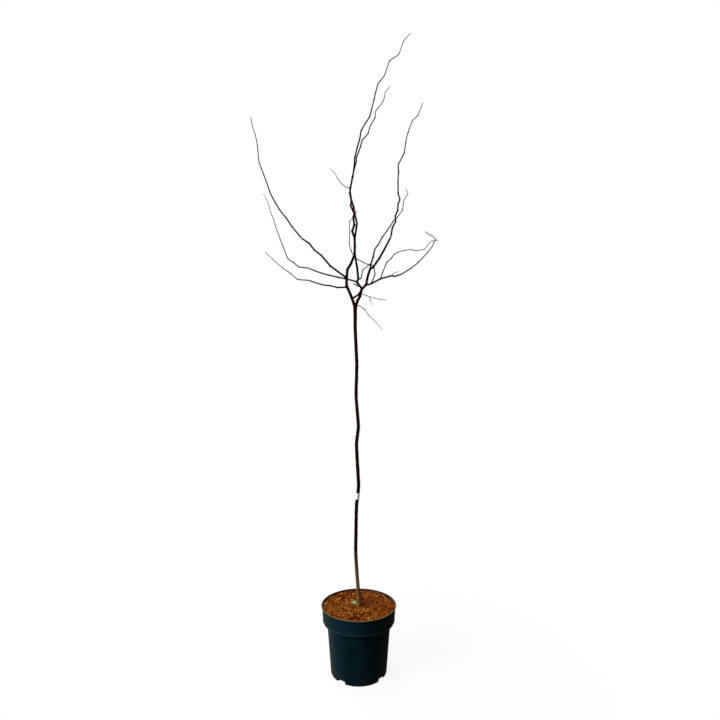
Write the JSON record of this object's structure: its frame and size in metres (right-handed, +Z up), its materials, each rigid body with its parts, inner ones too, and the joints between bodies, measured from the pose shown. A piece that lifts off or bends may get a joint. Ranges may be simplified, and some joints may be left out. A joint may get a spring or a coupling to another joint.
{
  "type": "redbud tree in a nursery pot",
  "caption": "Young redbud tree without leaves, with a slim bent trunk that forks into long zigzag boughs, standing in a round plastic pot topped with bark mulch.",
  "frame": {"origin": "centre of the pot's flat underside", "axes": "+Z up along the tree, +X to the right of the view that shows the longer left boughs on the left, -Y towards that view"},
  "size_m": [0.8873, 0.5726, 2.7586],
  "materials": {
    "pot_plastic": "moulded dark navy polypropylene with a soft sheen and faint scuffs",
    "mulch": "loose orange-brown bark chips with darker and paler pieces",
    "bark": "thin dark maroon-brown bark with pale lenticels, grey-olive near the foot",
    "twig_bark": "smooth dark brown young bark with small buds at each node",
    "tape": "plain white marker tape"
  },
  "bodies": {
    "root": {"pot": "pot_plastic", "mulch_fill": "mulch", "trunk_tape": "tape", "trunk": "bark", "bough_left_leader": "bark", "bough_right_fork": "bark", "bough_right_leader": "bark", "bough_cross": "bark", "bough_left_high": "bark", "bough_left_mid": "bark", "bough_left_low": "bark", "bough_right_low": "bark", "bough_right_inner": "bark", "twigs_top": "twig_bark", "twigs_top_second": "twig_bark", "twigs_leader_side": "twig_bark", "twigs_right_high": "twig_bark", "twigs_right_inner": "twig_bark", "twigs_right_low": "twig_bark", "twigs_low_spur": "twig_bark", "twigs_right_arching": "twig_bark", "twigs_centre": "twig_bark", "twigs_inner": "twig_bark", "twigs_left_high": "twig_bark", "twigs_left_mid": "twig_bark", "twigs_left_low": "twig_bark", "twigs_fork_right": "twig_bark", "twigs_fork_under": "twig_bark", "twigs_fork_low": "twig_bark", "twigs_stub": "twig_bark"}
  },
  "joints": []
}
